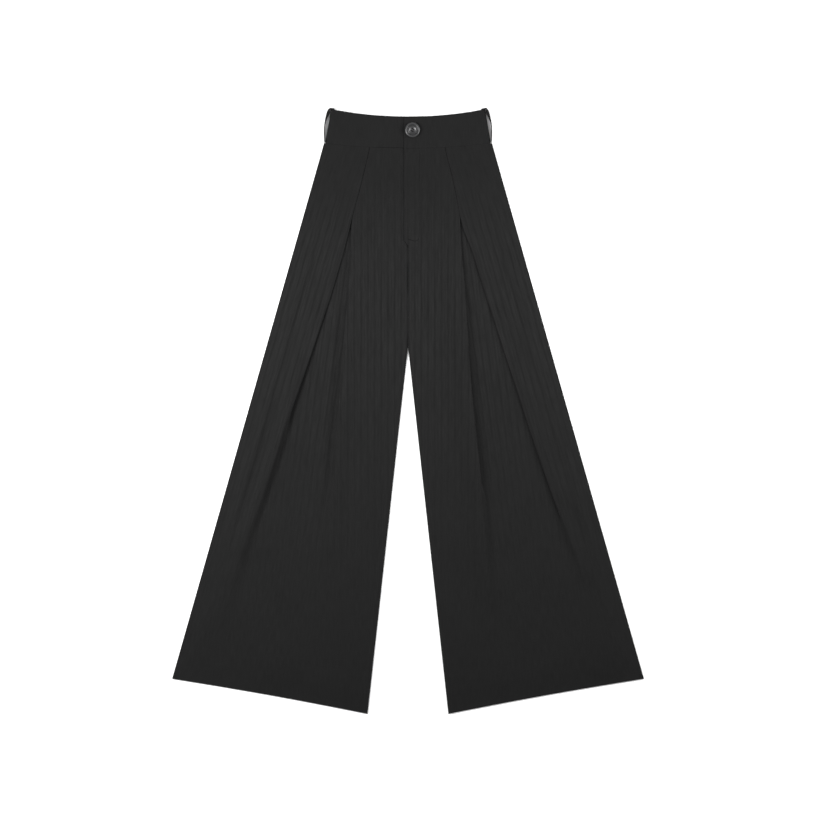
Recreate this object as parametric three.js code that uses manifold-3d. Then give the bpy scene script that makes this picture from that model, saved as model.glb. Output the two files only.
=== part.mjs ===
import * as THREE from 'three';
import { mergeVertices } from 'three/addons/utils/BufferGeometryUtils.js';
import Module from 'manifold-3d';

// Wide-legged suiting trousers with one inverted box pleat on each front, laid flat on their back.
//
// Frame, in millimetres: +X to the wearer's left, +Y up the garment to the waist, +Z up from the
// surface. A distance "out" is measured from the centre seam towards a side seam, so the wearer's
// left half has x = out and the wearer's right half has x = -out.
// The origin is under the middle of the garment. Heights y in the tables below count from a line
// close to it, and the finished group is moved onto it.
// The back lies on the surface, and each front lies on the back with a seam gap between them.
// Every cloth wall is a grid of points: rows run across the garment, columns run down it.

// ---- Cloth ----
const CLOTH = 1.0; // one wall of suiting
const GAP = 0.3; // between pieces at a seam, and between layers that lie on each other
const BAND = 2.4; // a waistband: two cloth walls and their stiffening
const PRESSED_PLY = 1.35; // from one folded layer to the next where it is pressed or sewn
const FRONT_Z = CLOTH + GAP + CLOTH / 2; // middle of the front's wall where it lies on the back

// ---- Outline ----
const CROTCH_Y = 112;
const SEAM_Y = 459.4; // waist seam at the centre
const SEAM_CURVE = 0.00042; // the seam rises to the sides, by this times out squared
const BAND_TOP_Y = 514.8; // top of the waistband at the centre
const BAND_TOP_CURVE = 0.00072;
const BAND_SIDE_OUT = 144.6; // side of the waistband where the side seam begins
const BAND_SIDE_Y = 469;
const BAND_SIDE_SLOPE = 0.165;
const SIDE_OUT = 150.2; // side seam of the leg at SIDE_Y
const SIDE_Y = 456.75;
const SIDE_SLOPE = 0.2838; // millimetres out for each millimetre down
const INSEAM_SLOPE = 0.11;
const HEM_INNER = { out: 70, y: -530 };
const HEM_OUTER = { out: 412.3, y: -468.5 };
const HEM_BOW = 2; // how far the hem bows up between its corners
const HEM_ROW_Y = -500; // nominal height of the hem row, before it is bent to the hem
const HEM_BEND_FROM = -120; // rows below this turn gradually to the hem's slant
const SEAM_BEND_TO = 300; // rows above this turn gradually to the waist seam's curve

// ---- Fly: the wearer's left front laps over the right ----
const FLY_LAP = 7; // how far the flap's edge stands past the centre
const FLY_SHIELD = 18; // how far the right front runs on under the flap
const LAP_CLEARANCE = 1.5; // the flap stays up this far past the shield's edge
const LAP_RAMP = 8.5; // width over which the flap then comes down
const BAND_LAP_RAMP = 14; // the same for the stiffer waistband
const FLAP_END = { lapped: 299, joined: 289, flat: 279 };
const SHIELD_END = { lapped: 318, joined: 300 };

// ---- Pleats ----
// Cut width of a front, from its centre edge to its side: what does not show is folded away.
const CUT_WIDTH = { waist: 267, gainPerMm: 0.076 };
const LEAST_DEPTH = 1.6; // of a fold that is still turned under
const PLEAT_RAMP = 20; // width over which a lifted layer comes down beside the pleat
const SEAM_RAMP = 34; // height below the waist seam over which the front comes down to the back
const PLIES = [ // from one folded layer to the next: the folds roll more softly down the leg
  { y: 459, ply: PRESSED_PLY },
  { y: 430, ply: 1.8 },
  { y: 341, ply: 2.6 },
  { y: 60, ply: 3.2 },
  { y: -520, ply: 3.2 },
];
// Share of the folded-away cloth that the inner fold takes, easing down the leg.
const INNER_SHARE = { atSeam: 0.5, atZero: 0.28, goneBelow: 120 };
const RELEASE_WIDTH = 18; // width of the soft step that a released fold fades into
const INNER_FOLD = { folded: -75, released: -130, gone: -300 };
const OUTER_FOLD = { folded: -215, released: -270, gone: -400 };
// The folded edges of each pleat, out from the centre, at heights y. They meet near the waist.
const RIGHT_PLEAT = [
  { y: 459, inner: 67.3, outer: 67.3 },
  { y: 425, inner: 75, outer: 75 },
  { y: 383, inner: 85.3, outer: 85.3 },
  { y: 341, inner: 96.6, outer: 96.6 },
  { y: 320, inner: 99.3, outer: 101.6 },
  { y: 278, inner: 100.3, outer: 112.4 },
  { y: 236, inner: 102.5, outer: 124.4 },
  { y: 194, inner: 106.3, outer: 137 },
  { y: 110, inner: 114, outer: 165.2 },
  { y: 26, inner: 119.5, outer: 193.5 },
  { y: -58, inner: 127, outer: 219.8 },
  { y: -142, inner: 134, outer: 246.5 },
  { y: -226, inner: 142, outer: 275 },
  { y: -310, inner: 152, outer: 300 },
  { y: -400, inner: 164, outer: 327 },
  { y: -520, inner: 182, outer: 363 },
];
const LEFT_PLEAT = [
  { y: 459, inner: 65, outer: 65 },
  { y: 425, inner: 73.2, outer: 73.2 },
  { y: 383, inner: 83, outer: 83 },
  { y: 341, inner: 90.8, outer: 90.8 },
  { y: 320, inner: 91.6, outer: 96 },
  { y: 278, inner: 94.2, outer: 112.5 },
  { y: 236, inner: 97.6, outer: 125.2 },
  { y: 194, inner: 101, outer: 138.5 },
  { y: 110, inner: 106.2, outer: 166 },
  { y: 26, inner: 112.3, outer: 193.5 },
  { y: -58, inner: 121.3, outer: 221 },
  { y: -142, inner: 131, outer: 250 },
  { y: -226, inner: 138.5, outer: 279 },
  { y: -310, inner: 148, outer: 305 },
  { y: -400, inner: 160, outer: 332 },
  { y: -520, inner: 180, outer: 368 },
];

// ---- Rows, by their nominal height ----
const FRONT_ROWS = [
  SEAM_Y - GAP / 2, 450, 436, 416, 390, 366, 342, 330, SHIELD_END.lapped, FLAP_END.lapped,
  FLAP_END.joined, FLAP_END.flat, 256, 226, 190, 150, CROTCH_Y, 76, 40, 0, -40,
  INNER_FOLD.folded, -93, -112, INNER_FOLD.released, -170, OUTER_FOLD.folded, -233, -252,
  OUTER_FOLD.released, -300, -350, OUTER_FOLD.gone, -450, HEM_ROW_Y,
];
const BACK_ROWS = [SEAM_Y - GAP / 2, 400, 300, 200, CROTCH_Y, -120, -300, -430, HEM_ROW_Y];
const BACK_COLUMNS = 7;

// ---- Trim ----
const LOOP_WIDE = 8; // along Z, because the flattened side of the waist turns the loop on its edge
const LOOP_END_THICK = 1.6;
const LOOP_ON_TOP = [128, 134.5]; // where it lies on the band's top edge
const LOOP_BOW = [ // middle of the strap's wall, from the band's corner down, and its thickness
  { y: 529.1, out: 136, thick: 1.6 },
  { y: 527.4, out: 138.4, thick: 2 },
  { y: 521.7, out: 140.6, thick: 2.8 },
  { y: 514.3, out: 142.6, thick: 2.8 },
  { y: 506.8, out: 144.4, thick: 2.2 },
  { y: 499.3, out: 145.7, thick: 1.7 },
  { y: 491.8, out: 146.1, thick: 1.6 },
  { y: 484.2, out: 146.2, thick: 1.7 },
  { y: 477, out: 145.9, thick: 1.7 },
];
const LOOP_FOOT_Y = 469.4;
const LOOP_STEPS = 34;
const BAND_EDGE = [ // rounding of a waistband's long edges: inset, and half its thickness there
  { inset: 0, half: 0.2 },
  { inset: 0.35, half: 0.4 },
  { inset: 1.1, half: 0.5 },
];
const BUTTON = {
  x: 7.9, y: 490.9, thick: 4.6, sides: 40, holeOut: 2.3, holeRadius: 1.05, turn: -0.5,
};
const BUTTON_PROFILE = [
  { r: 0, z: 0 },
  { r: 9.5, z: 0 },
  { r: 12, z: 0.9 },
  { r: 13, z: 2.3 },
  { r: 12.8, z: 3.6 },
  { r: 11.9, z: 4.5 },
  { r: 10.9, z: 4.6 },
  { r: 10, z: 4.1 },
  { r: 9.4, z: 3.2 },
  { r: 8.7, z: 3.1 },
  { r: 8, z: 3.7 },
  { r: 7.1, z: 3.6 },
  { r: 4.6, z: 2.7 },
  { r: 0, z: 2.3 },
];

const SUITING = { color: 0x282828, roughness: 0.85, metalness: 0 };
const HORN = { color: 0x1b1b1d, roughness: 0.25, metalness: 0 };

// ---- Small helpers ----
const mix = (a, b, t) => a + (b - a) * t;
const clamp01 = (t) => Math.min(1, Math.max(0, t));
const share = (value, from, to) => clamp01((value - from) / (to - from));
const ease = (t) => t * t * (3 - 2 * t);

/** Value of one column of a table at height y, on a smooth curve through the table's rows. */
function along(table, column, y) {
  const last = table.length - 1;
  const after = table.findIndex((row) => row.y <= y);
  const i = after < 0 ? last - 1 : Math.max(after - 1, 0);
  const [p, q] = [table[i], table[i + 1]];
  const [before, beyond] = [table[Math.max(i - 1, 0)], table[Math.min(i + 2, last)]];
  const span = q.y - p.y;
  const startSlope = (q[column] - before[column]) / (q.y - before.y);
  const endSlope = (beyond[column] - p[column]) / (beyond.y - p.y);
  const t = clamp01((y - p.y) / span);
  const bend = (startSlope * (1 - t) - endSlope * t) * span + (q[column] - p[column]) * (2 * t - 1);
  return mix(p[column], q[column], t) + t * (1 - t) * bend;
}

// ---- Edges of the outline, as distances out at a height ----
const seamHeight = (out) => SEAM_Y + SEAM_CURVE * out * out;
const bandTop = (out) => BAND_TOP_Y + BAND_TOP_CURVE * out * out;
const bandSide = (y) => BAND_SIDE_OUT - BAND_SIDE_SLOPE * (y - BAND_SIDE_Y);
const sideSeam = (y) => SIDE_OUT + SIDE_SLOPE * (SIDE_Y - y);
const inseam = (y) => GAP / 2 + INSEAM_SLOPE * Math.max(0, CROTCH_Y - y);

function hemHeight(out) {
  const t = (out - HEM_INNER.out) / (HEM_OUTER.out - HEM_INNER.out);
  return mix(HEM_INNER.y, HEM_OUTER.y, t) + HEM_BOW * Math.sin(Math.PI * clamp01(t));
}

/** Inner edge of the wearer's left front: the flap down the fly, then the centre seam. */
function flapEdge(y) {
  return mix(inseam(y), -FLY_LAP, share(y, FLAP_END.joined, FLAP_END.lapped));
}

/** Inner edge of the wearer's right front: the shield under the flap, then the centre seam. */
function shieldEdge(y) {
  return mix(inseam(y), -FLY_SHIELD, share(y, SHIELD_END.joined, SHIELD_END.lapped));
}

/** Height of a point of a row: rows bend to the waist seam above and to the hem below. */
function rowHeight(row, out) {
  const up = ease(share(row, SEAM_BEND_TO, SEAM_Y)) * (seamHeight(out) - SEAM_Y);
  const down = ease(share(row, HEM_BEND_FROM, HEM_ROW_Y)) * (hemHeight(out) - HEM_ROW_Y);
  return row + up + down;
}

/** Where a line that is given by height crosses a bent row. */
function crossing(row, line) {
  let out = line(row);
  for (let pass = 0; pass < 4; pass += 1) {
    out = line(rowHeight(row, out));
  }
  return out;
}

// ---- Solids from grids of points ----
/** Closed wall between two grids of points, the face above and the reverse below. */
function wallBetween(face, reverse, mirrored) {
  const rows = face.length;
  const columns = face[0].length;
  const index = (side, i, j) => side * rows * columns + i * columns + j;
  const triangles = [];
  const quad = (a, b, c, d) => triangles.push([a, b, c], [a, c, d]);
  for (let i = 0; i < rows - 1; i += 1) {
    for (let j = 0; j < columns - 1; j += 1) {
      quad(index(0, i, j), index(0, i + 1, j), index(0, i + 1, j + 1), index(0, i, j + 1));
      quad(index(1, i, j), index(1, i, j + 1), index(1, i + 1, j + 1), index(1, i + 1, j));
    }
    quad(index(0, i, 0), index(1, i, 0), index(1, i + 1, 0), index(0, i + 1, 0));
    const end = columns - 1;
    quad(index(0, i, end), index(0, i + 1, end), index(1, i + 1, end), index(1, i, end));
  }
  for (let j = 0; j < columns - 1; j += 1) {
    quad(index(0, 0, j), index(0, 0, j + 1), index(1, 0, j + 1), index(1, 0, j));
    const end = rows - 1;
    quad(index(0, end, j), index(1, end, j), index(1, end, j + 1), index(0, end, j + 1));
  }
  const turned = mirrored ? triangles.map(([a, b, c]) => [a, c, b]) : triangles;
  const points = [...face.flat(), ...reverse.flat()];
  const geometry = new THREE.BufferGeometry();
  geometry.setAttribute('position', new THREE.Float32BufferAttribute(points.flat(), 3));
  geometry.setIndex(turned.flat());
  return geometry;
}

/** Moves each point of an (out, z) path sideways by a distance, mitred at its corners. */
function offsetPath(path, distance) {
  const normals = path.slice(1).map((point, k) => {
    const [du, dz] = [point[0] - path[k][0], point[1] - path[k][1]];
    const length = Math.hypot(du, dz);
    return [-dz / length, du / length];
  });
  return path.map(([out, z], k) => {
    const before = normals[Math.max(k - 1, 0)];
    const after = normals[Math.min(k, normals.length - 1)];
    const sum = [before[0] + after[0], before[1] + after[1]];
    const reach = distance * 2 / (sum[0] * sum[0] + sum[1] * sum[1]);
    return [out + sum[0] * reach, z + sum[1] * reach];
  });
}

/** Wall of cloth through paths of (out, z) points, one path for each row. */
function clothWall(paths, rows, side) {
  const surface = (distance) => paths.map((path, i) => (
    offsetPath(path, distance).map(([out, z], j) => [side * out, rowHeight(rows[i], path[j][0]), z])
  ));
  return wallBetween(surface(CLOTH / 2), surface(-CLOTH / 2), side < 0);
}

// ---- Fronts ----
/** Half turn of a fold from one layer to the next, as three chords. */
function halfTurn(out, fromZ, toZ, bulge) {
  const radius = (toZ - fromZ) / 2;
  return [0, 1, 2, 3].map((step) => {
    const angle = (Math.PI * step) / 3;
    const reach = bulge * Math.abs(radius) * Math.sin(angle);
    return [out + reach, fromZ + radius * (1 - Math.cos(angle))];
  });
}

/**
 * One fold of the pleat, from its top layer to the underlay: the shown edge, the turned-under
 * depth and the hidden turn. Released, it is a soft step. "toward" is +1 where the shown edge
 * faces out and -1 where it faces the centre.
 */
function foldPoints(edge, depth, toward, ply, folded, height) {
  const topZ = FRONT_Z + 2 * ply * height;
  const turn = edge - toward * (ply / 2 + CLOTH / 2);
  const hidden = turn - toward * Math.max(depth, LEAST_DEPTH);
  const pressed = [
    ...halfTurn(turn, topZ, FRONT_Z + ply * height, toward),
    ...halfTurn(hidden, FRONT_Z + ply * height, FRONT_Z, -toward),
  ];
  const last = pressed.length - 1;
  return pressed.map(([out, z], k) => {
    const t = k / last;
    const soft = [edge + toward * RELEASE_WIDTH * (t - 0.5), mix(topZ, FRONT_Z, ease(t))];
    return [mix(soft[0], out, folded), mix(soft[1], z, folded)];
  });
}

/** How a fold stands at height y: still folded, and how high its step is. */
function foldState(fold, y) {
  return {
    folded: share(y, fold.released, fold.folded),
    height: ease(share(y, fold.gone, fold.folded)),
  };
}

/** Path across a front at one row, from the centre edge over the pleat to the side seam. */
function frontPath(row, pleat, edge, lapped) {
  const innerFold = crossing(row, (y) => along(pleat, 'inner', y) - GAP / 2);
  const outerFold = crossing(row, (y) => along(pleat, 'outer', y) + GAP / 2);
  const start = crossing(row, edge);
  const end = crossing(row, sideSeam);

  // What the cut has and the outline does not show is shared by the two folds.
  const cut = CUT_WIDTH.waist + CUT_WIDTH.gainPerMm * (SEAM_Y - row);
  const hidden = Math.max(0, (cut - (end - crossing(row, inseam))) / 2);
  const upper = mix(INNER_SHARE.atZero, INNER_SHARE.atSeam, Math.max(row, 0) / SEAM_Y);
  const innerDepth = hidden * upper * (1 - share(-row, 0, INNER_SHARE.goneBelow));
  const outerDepth = hidden - innerDepth;

  const ply = along(PLIES, 'ply', row);
  const inner = foldState(INNER_FOLD, row);
  const outer = foldState(OUTER_FOLD, row);
  const innerPoints = foldPoints(innerFold, innerDepth, 1, ply, inner.folded, inner.height);
  const outerPoints = foldPoints(outerFold, outerDepth, -1, ply, outer.folded, outer.height);

  // Beside the pleat the top layer lies on the hidden turn, then comes down to the back.
  const clearance = ply / 2 + CLOTH / 2 + 1;
  const innerReach = Math.min(innerPoints[7][0], innerPoints[0][0]) - clearance;
  const outerReach = Math.max(outerPoints[7][0], outerPoints[0][0]) + clearance;
  const low = FRONT_Z + 2 * PRESSED_PLY * ease(share(row, SEAM_Y - SEAM_RAMP, SEAM_Y));
  const onFly = row > FLAP_END.flat;
  const lift = lapped && onFly ? PRESSED_PLY : 0;
  const lapEnd = FLY_SHIELD + LAP_CLEARANCE;
  const lapDown = lapEnd + LAP_RAMP;
  const rampStart = Math.max(innerReach - PLEAT_RAMP, onFly ? lapDown + 1 : 0);
  const inside = [
    [start, low + lift],
    [onFly ? lapEnd : mix(start, rampStart, 0.35), low + lift],
    [onFly ? lapDown : mix(start, rampStart, 0.7), low],
    [rampStart, low],
    [innerReach, Math.max(low, innerPoints[0][1])],
  ];
  const rampEnd = Math.min(outerReach + PLEAT_RAMP, mix(outerReach, end, 0.6));
  const outside = [
    [outerReach, Math.max(low, outerPoints[0][1])],
    [rampEnd, low],
    [mix(rampEnd, end, 0.5), low],
    [end, low],
  ];
  const [from, to] = [innerPoints[7][0], outerPoints[7][0]];
  const underlay = [1 / 3, 2 / 3].map((t) => [mix(from, to, t), FRONT_Z]);
  return [...inside, ...innerPoints, ...underlay, ...outerPoints.reverse(), ...outside];
}

function frontPanel(pleat, edge, side, lapped) {
  const paths = FRONT_ROWS.map((row) => frontPath(row, pleat, edge, lapped));
  return clothWall(paths, FRONT_ROWS, side);
}

// ---- Backs ----
function backPanel(side) {
  const paths = BACK_ROWS.map((row) => {
    const [start, end] = [crossing(row, inseam), crossing(row, sideSeam)];
    const steps = Array.from({ length: BACK_COLUMNS }, (_, j) => j / (BACK_COLUMNS - 1));
    return steps.map((t) => [mix(start, end, t), CLOTH / 2]);
  });
  return clothWall(paths, BACK_ROWS, side);
}

// ---- Waistband ----
/** Where the slanting end of the band crosses a line that is given by distance out. */
function endOfBand(end, heightAt) {
  let out = BAND_SIDE_OUT;
  for (let pass = 0; pass < 4; pass += 1) {
    out = bandSide(heightAt(out));
  }
  return end * out;
}

/**
 * A band between the waist seam and its top edge, through stations that each give their place out
 * from the centre and the height of the band's underside. Its long edges are rounded. A station
 * with a side lies on the slanting end of the band, on that side of the centre.
 */
function waistband(stations, side) {
  const edge = [...BAND_EDGE].reverse();
  const grid = (up) => {
    const above = BAND_EDGE.map(({ inset, half }) => [(out) => bandTop(out) - inset, half]);
    const below = edge.map(({ inset, half }) => [(out) => seamHeight(out) + GAP / 2 + inset, half]);
    return [...above, ...below].map(([heightAt, half]) => stations.map(({ out, z, end }) => {
      const place = end ? endOfBand(end, heightAt) : out;
      return [side * place, heightAt(place), z + BAND * (0.5 + up * half)];
    }));
  };
  return wallBetween(grid(1), grid(-1), side < 0);
}

// ---- Belt loops ----
/** A strap that starts on the band's top edge, bows clear of its side and comes back to it. */
function beltLoop(side) {
  const seat = GAP + LOOP_END_THICK / 2;
  const knots = [
    ...LOOP_ON_TOP.map((out) => [out, bandTop(out) + seat, LOOP_END_THICK]),
    ...LOOP_BOW.map(({ y, out, thick }) => [out, y, thick]),
    [bandSide(LOOP_FOOT_Y) + seat, LOOP_FOOT_Y, LOOP_END_THICK],
  ];
  const curve = new THREE.CatmullRomCurve3(knots.map((knot) => new THREE.Vector3(...knot)));
  const path = curve.getSpacedPoints(LOOP_STEPS).map(({ x, y, z }) => [x, y, z]);
  const unitOffset = offsetPath(path, 1);
  const wall = (way) => path.map(([out, y, thick], k) => [
    mix(out, unitOffset[k][0], way * thick / 2),
    mix(y, unitOffset[k][1], way * thick / 2),
  ]);
  const outline = [...wall(1), ...wall(-1).reverse()]
    .map(([out, y]) => new THREE.Vector2(side * out, y));
  return new THREE.ExtrudeGeometry(new THREE.Shape(outline), {
    depth: LOOP_WIDE, bevelEnabled: false,
  });
}

// ---- Button ----
/** Closed mesh with shared corners, as a solid for cutting. */
function solidOf(geometry, wasm) {
  const bare = geometry.clone();
  bare.deleteAttribute('normal');
  bare.deleteAttribute('uv');
  const merged = mergeVertices(bare);
  const corners = merged.index.array;
  const kept = [];
  for (let k = 0; k < corners.length; k += 3) {
    const [a, b, c] = corners.slice(k, k + 3);
    if (a !== b && b !== c && c !== a) {
      kept.push(a, b, c);
    }
  }
  const vertProperties = new Float32Array(merged.attributes.position.array);
  return new wasm.Manifold(
    new wasm.Mesh({ numProp: 3, vertProperties, triVerts: new Uint32Array(kept) }),
  );
}

/** Four-hole button: a raised rim, a groove, and a dished middle with the holes. */
function button(wasm) {
  const profile = BUTTON_PROFILE.map(({ r, z }) => new THREE.Vector2(r, z));
  const disc = new THREE.LatheGeometry(profile, BUTTON.sides).rotateX(Math.PI / 2);
  let solid = solidOf(disc, wasm);
  for (let k = 0; k < 4; k += 1) {
    const angle = BUTTON.turn + (k + 0.5) * (Math.PI / 2);
    const hole = new THREE.CylinderGeometry(BUTTON.holeRadius, BUTTON.holeRadius, BUTTON.thick * 3, 12);
    hole.rotateX(Math.PI / 2);
    hole.translate(BUTTON.holeOut * Math.cos(angle), BUTTON.holeOut * Math.sin(angle), 0);
    solid = solid.subtract(solidOf(hole, wasm));
  }
  const cut = solid.getMesh();
  const geometry = new THREE.BufferGeometry();
  geometry.setAttribute('position', new THREE.Float32BufferAttribute(cut.vertProperties, 3));
  geometry.setIndex([...cut.triVerts]);
  return geometry;
}

// ---- The trousers ----
const group = new THREE.Group();

function addPiece(name, geometry, finish) {
  const mesh = new THREE.Mesh(geometry, new THREE.MeshStandardMaterial(finish));
  mesh.name = name;
  group.add(mesh);
  return mesh;
}

const wasm = await Module();
wasm.setup();

const frontBandZ = BAND + GAP;
const flapBandZ = frontBandZ + BAND + GAP;
const lapEnd = FLY_SHIELD + LAP_CLEARANCE;
const plainStations = [55, 85, 112].map((out) => ({ out, z: frontBandZ }));
const frontEnd = { z: frontBandZ, end: 1 };
const flapStations = [
  { out: -FLY_LAP, z: flapBandZ },
  { out: lapEnd, z: flapBandZ },
  { out: lapEnd + BAND_LAP_RAMP, z: frontBandZ },
  ...plainStations,
  frontEnd,
];
const shieldStations = [
  { out: -FLY_SHIELD, z: frontBandZ },
  { out: 20, z: frontBandZ },
  ...plainStations,
  frontEnd,
];
const backStations = [
  { z: 0, end: -1 },
  ...[-112, -75, -38, 0, 38, 75, 112].map((out) => ({ out, z: 0 })),
  { z: 0, end: 1 },
];

addPiece('front_left', frontPanel(LEFT_PLEAT, flapEdge, 1, true), SUITING);
addPiece('front_right', frontPanel(RIGHT_PLEAT, shieldEdge, -1, false), SUITING);
addPiece('back_left', backPanel(1), SUITING);
addPiece('back_right', backPanel(-1), SUITING);
addPiece('waistband_front_left', waistband(flapStations, 1), SUITING);
addPiece('waistband_front_right', waistband(shieldStations, -1), SUITING);
addPiece('waistband_back', waistband(backStations, 1), SUITING);
addPiece('belt_loop_left', beltLoop(1), SUITING);
addPiece('belt_loop_right', beltLoop(-1), SUITING);
addPiece('button', button(wasm), HORN)
  .position.set(BUTTON.x, BUTTON.y, flapBandZ + BAND + GAP);

// The origin is below the middle of the garment's outline, on the surface.
const bounds = new THREE.Box3().setFromObject(group);
const middle = bounds.getCenter(new THREE.Vector3());
group.position.set(-middle.x, -middle.y, -bounds.min.z);

export default group;
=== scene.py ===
"""Wide-legged suiting trousers laid flat, front up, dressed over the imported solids.

Lengths are in millimetres and become metres where a mesh is made. A distance "out" runs from the
centre seam towards a side seam: the wearer's left half has x = out, the right half has x = -out.
Cloth is a grid of points, in rows across the garment and columns down it, thickened into a shell.
"""
import math
from collections import namedtuple

import bpy
import numpy as np
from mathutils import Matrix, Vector
from mathutils.bvhtree import BVHTree


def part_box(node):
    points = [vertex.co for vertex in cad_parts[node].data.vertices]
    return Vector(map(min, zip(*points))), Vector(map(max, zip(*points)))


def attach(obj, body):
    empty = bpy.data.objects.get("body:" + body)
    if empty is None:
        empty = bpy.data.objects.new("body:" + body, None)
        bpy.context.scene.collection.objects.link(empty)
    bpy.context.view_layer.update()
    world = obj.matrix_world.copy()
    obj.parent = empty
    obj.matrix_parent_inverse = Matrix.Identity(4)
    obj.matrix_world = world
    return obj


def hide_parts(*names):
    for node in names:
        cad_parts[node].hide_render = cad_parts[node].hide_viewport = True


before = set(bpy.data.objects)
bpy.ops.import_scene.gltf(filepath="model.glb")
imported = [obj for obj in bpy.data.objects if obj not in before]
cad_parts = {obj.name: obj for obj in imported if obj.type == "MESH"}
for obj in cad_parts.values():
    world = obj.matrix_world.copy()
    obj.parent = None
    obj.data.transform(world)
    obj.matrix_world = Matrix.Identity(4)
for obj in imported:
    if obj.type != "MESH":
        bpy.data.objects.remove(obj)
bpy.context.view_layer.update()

MM = 0.001

# ---- Cloth ----
CLOTH = 1.0
GAP = 0.3
BAND, BAND_EDGE = 2.4, 0.7  # a band's edges round off more slowly than one cloth's, by this
PRESSED_PLY = 1.35  # from one folded layer to the next where the pleat is pressed
FRONT_Z = CLOTH + GAP + CLOTH / 2
SEAM_SLIT = 0.04  # between two pieces that are sewn together

# ---- Outline ----
CROTCH_Y = 112.0
SEAM_Y, SEAM_CURVE = 459.4, 0.00042
BAND_TOP_Y, BAND_TOP_CURVE = 514.8, 0.00072
BAND_SIDE_OUT, BAND_SIDE_Y, BAND_SIDE_SLOPE = 144.6, 469.0, 0.165
SIDE_OUT, SIDE_Y, SIDE_SLOPE = 150.2, 456.75, 0.2838
INSEAM_SLOPE = 0.11
HEM_INNER, HEM_OUTER = (70.0, -530.0), (412.3, -468.5)
HEM_BOW = 2.0
HEM_ROW_Y, HEM_BEND_FROM, SEAM_BEND_TO = -500.0, -120.0, 300.0

# ---- Fly ----
FLY_LAP, FLY_SHIELD = 7.0, 18.0
LAP_CLEARANCE, LAP_RAMP, BAND_LAP_RAMP = 1.5, 8.5, 14.0
LAP_END = FLY_SHIELD + LAP_CLEARANCE  # the left side lies over the shield as far out as this
FLAP_LAPPED, FLAP_JOINED, FLAP_FLAT = 299.0, 289.0, 279.0
SHIELD_LAPPED, SHIELD_JOINED = 318.0, 300.0
FLY_GROOVE = 4.6  # the right side comes down over this width to the flap's edge
FLY_LEVEL_OUT = (70.0, 40.0)  # and stands level with the flap from here inwards
BAND_LEVEL = 1.4
FLAP_THINS, THINS_OVER = 0.5, 6.0  # share of thickness lost at the end of the flap's band, over this

# ---- Pleats ----
CUT_AT_WAIST, CUT_GAIN = 267.0, 0.076
LEAST_DEPTH = 1.6
PLEAT_RAMP, PLEAT_RIM = 26.0, 1.0  # the top layer rises up the ramp to a fold and is level on the rim
SOFT_WIDTH, GONE_WIDTH = 10.0, 40.0  # of the soft step that a released fold leaves
SEAM_RAMP = 34.0
INNER_SHARE_SEAM, INNER_SHARE_ZERO, INNER_SHARE_GONE = 0.5, 0.28, 120.0
# From one folded layer to the next, down each fold.
Ply = namedtuple("Ply", "y ply")
LEFT_INNER_PLIES = [
    Ply(459, PRESSED_PLY), Ply(435, 1.1), Ply(341, 1.4), Ply(250, 2.6), Ply(60, 4.0), Ply(-100, 4.3),
    Ply(-520, 4.3),
]
LEFT_OUTER_PLIES = [
    Ply(459, PRESSED_PLY), Ply(435, 1.1), Ply(341, 1.3), Ply(100, 1.4), Ply(-20, 2.0), Ply(-130, 2.5),
    Ply(-520, 2.5),
]
RIGHT_INNER_PLIES = [
    Ply(459, PRESSED_PLY), Ply(430, 1.4), Ply(341, 1.3), Ply(260, 1.1), Ply(-520, 1.2),
]
RIGHT_OUTER_PLIES = [
    Ply(459, PRESSED_PLY), Ply(430, 1.4), Ply(341, 1.6), Ply(180, 1.9), Ply(60, 3.6), Ply(-60, 5.2),
    Ply(-520, 5.2),
]
# Where a fold begins to open, is a soft step, and is gone.
Release = namedtuple("Release", "folded released gone plies")
LEFT_INNER_END = Release(-80.0, -170.0, -450.0, LEFT_INNER_PLIES)
LEFT_OUTER_END = Release(-130.0, -220.0, -350.0, LEFT_OUTER_PLIES)
RIGHT_INNER_END = Release(90.0, -40.0, -200.0, RIGHT_INNER_PLIES)
RIGHT_OUTER_END = Release(60.0, -50.0, -450.0, RIGHT_OUTER_PLIES)
Fold = namedtuple("Fold", "y inner outer")
RIGHT_PLEAT = [
    Fold(459, 67.3, 67.3),
    Fold(425, 75, 75),
    Fold(383, 85.3, 85.3),
    Fold(341, 96.6, 96.6),
    Fold(320, 99.3, 101.6),
    Fold(278, 100.3, 112.4),
    Fold(236, 102.5, 124.4),
    Fold(194, 106.3, 137),
    Fold(110, 114, 165.2),
    Fold(26, 119.5, 193.5),
    Fold(-58, 127, 219.8),
    Fold(-142, 134, 246.5),
    Fold(-226, 142, 275),
    Fold(-310, 152, 300),
    Fold(-400, 164, 327),
    Fold(-520, 182, 363),
]
LEFT_PLEAT = [
    Fold(459, 65, 65),
    Fold(425, 73.2, 73.2),
    Fold(383, 83, 83),
    Fold(341, 90.8, 90.8),
    Fold(320, 91.6, 96),
    Fold(278, 94.2, 112.5),
    Fold(236, 97.6, 125.2),
    Fold(194, 101, 138.5),
    Fold(110, 106.2, 166),
    Fold(26, 112.3, 193.5),
    Fold(-58, 121.3, 221),
    Fold(-142, 131, 250),
    Fold(-226, 138.5, 279),
    Fold(-310, 148, 305),
    Fold(-400, 160, 332),
    Fold(-520, 180, 368),
]

# ---- Soft relief of the fronts, which the solids leave out ----
LOFT = 3.6  # how far the front stands off the back between its seams
# Where the loft begins and where it is full, measured in from each edge of a front.
INSEAM_RISE = (0.2, 42)
SIDE_RISE = (1, 34)
SEAM_RISE = (6, 60)
HEM_RISE = (0, 60)
FLY_RISE = (30, 52)  # on the lapped front, out from the centre
CENTRE_TO_FLY = (250, 290)  # the heights between which the fly takes over from the inseam
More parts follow.
